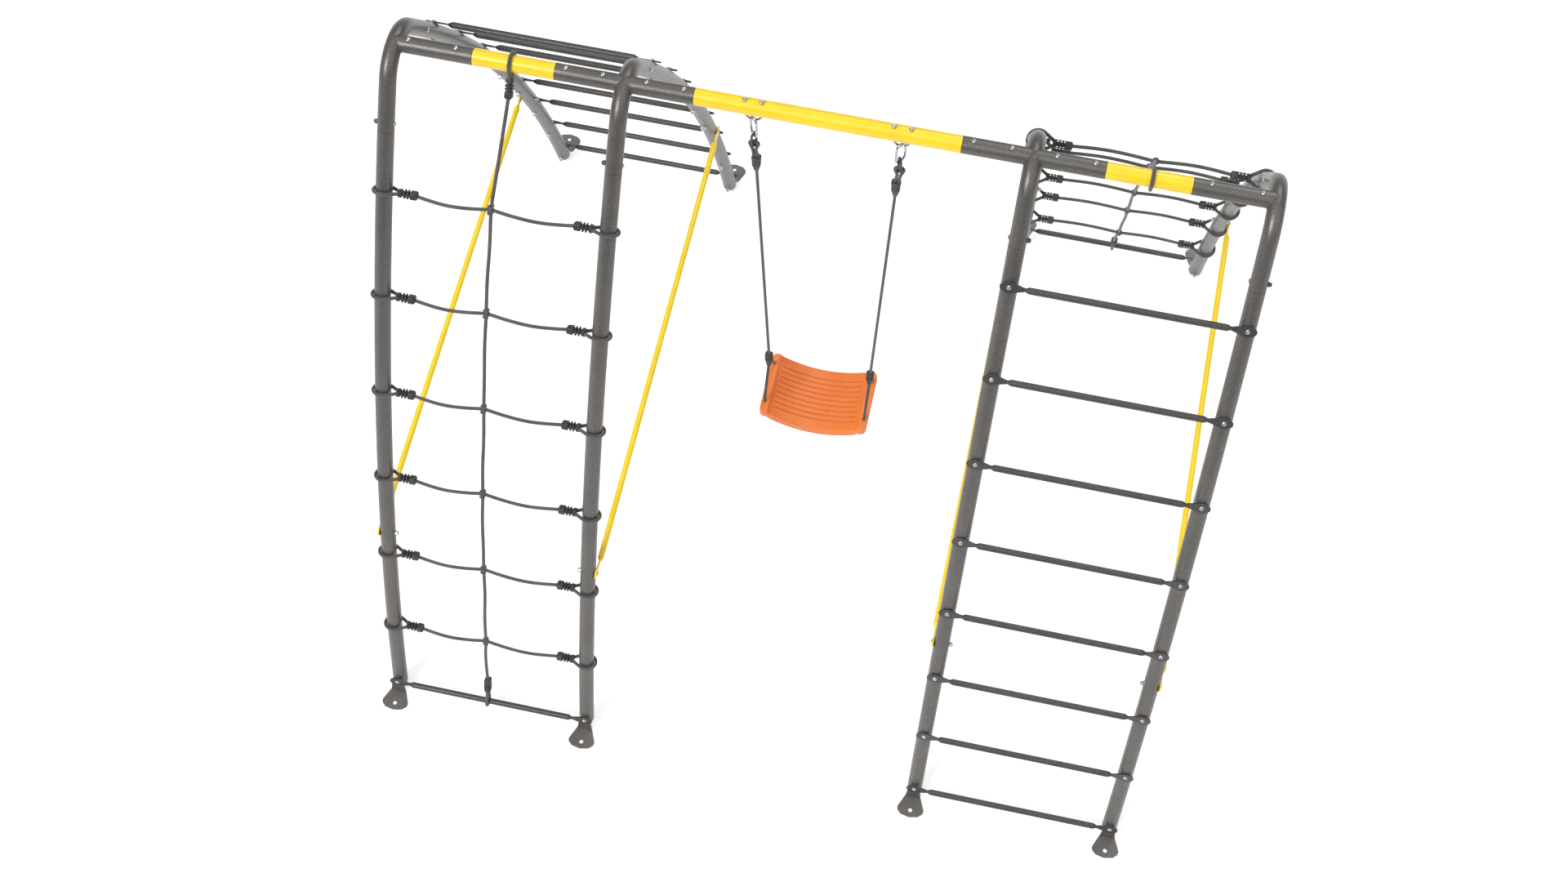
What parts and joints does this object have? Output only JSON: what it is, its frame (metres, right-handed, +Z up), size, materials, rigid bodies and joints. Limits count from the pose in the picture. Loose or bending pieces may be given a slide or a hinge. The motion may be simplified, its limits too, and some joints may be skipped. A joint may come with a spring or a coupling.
{
  "type": "dome climber",
  "caption": "Playground climbing frame: arched side frames joined by a round beam, with rope nets, rung ladders, tie bars, ground feet and a hanging swing seat.",
  "frame": {"origin": "on the ground, at the middle of the footprint, straight under the beam's middle", "axes": "+X along the beam towards the tower with the front ladder, +Y to the rear, +Z up"},
  "size_m": [2.6296, 2.494, 2.2926],
  "materials": {
    "gray_frame": "hammered grey powder coat, semi-matte",
    "yellow_tube": "bright yellow powder coat, satin",
    "zinc_fastener": "bright zinc plate",
    "chrome_link": "polished plated steel",
    "rope": "laid dark grey polypropylene rope",
    "black_plastic": "moulded black plastic",
    "seat_plastic": "moulded orange plastic, satin"
  },
  "bodies": {
    "root": {"top_arch_outer_left": "gray_frame", "top_arch_inner_left": "gray_frame", "top_arch_inner_right": "gray_frame", "top_arch_outer_right": "gray_frame", "front_leg_outer_left": "gray_frame", "rear_leg_outer_left": "gray_frame", "front_leg_inner_left": "gray_frame", "rear_leg_inner_left": "gray_frame", "front_leg_inner_right": "gray_frame", "rear_leg_inner_right": "gray_frame", "front_leg_outer_right": "gray_frame", "rear_leg_outer_right": "gray_frame", "front_ladder_rungs": "gray_frame", "rear_ladder_rungs": "gray_frame", "net_bottom_bars": "gray_frame", "front_feet": "gray_frame", "rear_feet": "gray_frame", "beam_left": "yellow_tube", "beam_middle": "yellow_tube", "beam_right": "yellow_tube", "side_braces": "yellow_tube", "rung_bolts": "zinc_fastener", "foot_bolts": "zinc_fastener", "rung_washers": "zinc_fastener", "joint_bolts": "zinc_fastener", "beam_bolts": "zinc_fastener", "brace_bolts": "zinc_fastener", "beam_nuts": "zinc_fastener", "brace_nuts": "zinc_fastener", "hanger_bolts": "zinc_fastener", "hanger_nuts": "zinc_fastener", "hanger_lock_nuts": "zinc_fastener", "rung_nuts": "black_plastic", "joint_nuts": "black_plastic", "front_net_ropes": "rope", "front_net_loops": "rope", "front_net_end_loops": "rope", "front_net_upright": "rope", "front_net_knots": "rope", "rear_net_ropes": "rope", "rear_net_loops": "rope", "rear_net_end_loops": "rope", "rear_net_upright": "rope", "rear_net_knots": "rope", "front_net_ferrules": "black_plastic", "front_net_end_ferrules": "black_plastic", "rear_net_ferrules": "black_plastic", "rear_net_end_ferrules": "black_plastic"},
    "links": {"hanger_links": "chrome_link"},
    "swing": {"swing_rope_loops": "rope", "swing_ropes": "rope", "swing_strands": "rope", "swing_knots": "rope", "swing_eyes": "black_plastic", "swing_thimbles": "black_plastic", "swing_upper_blocks": "black_plastic", "swing_lower_blocks": "black_plastic", "swing_seat": "seat_plastic"}
  },
  "joints": [
    {"name": "link_swing", "type": "hinge", "parent": "root", "child": "links", "pos_m": [0, 0, 2.1946], "axis": [1, 0, 0], "range_deg": [-45, 45]},
    {"name": "seat_swing", "type": "hinge", "parent": "links", "child": "swing", "pos_m": [0, 0, 2.1172], "axis": [1, 0, 0], "range_deg": [-20, 20]}
  ]
}
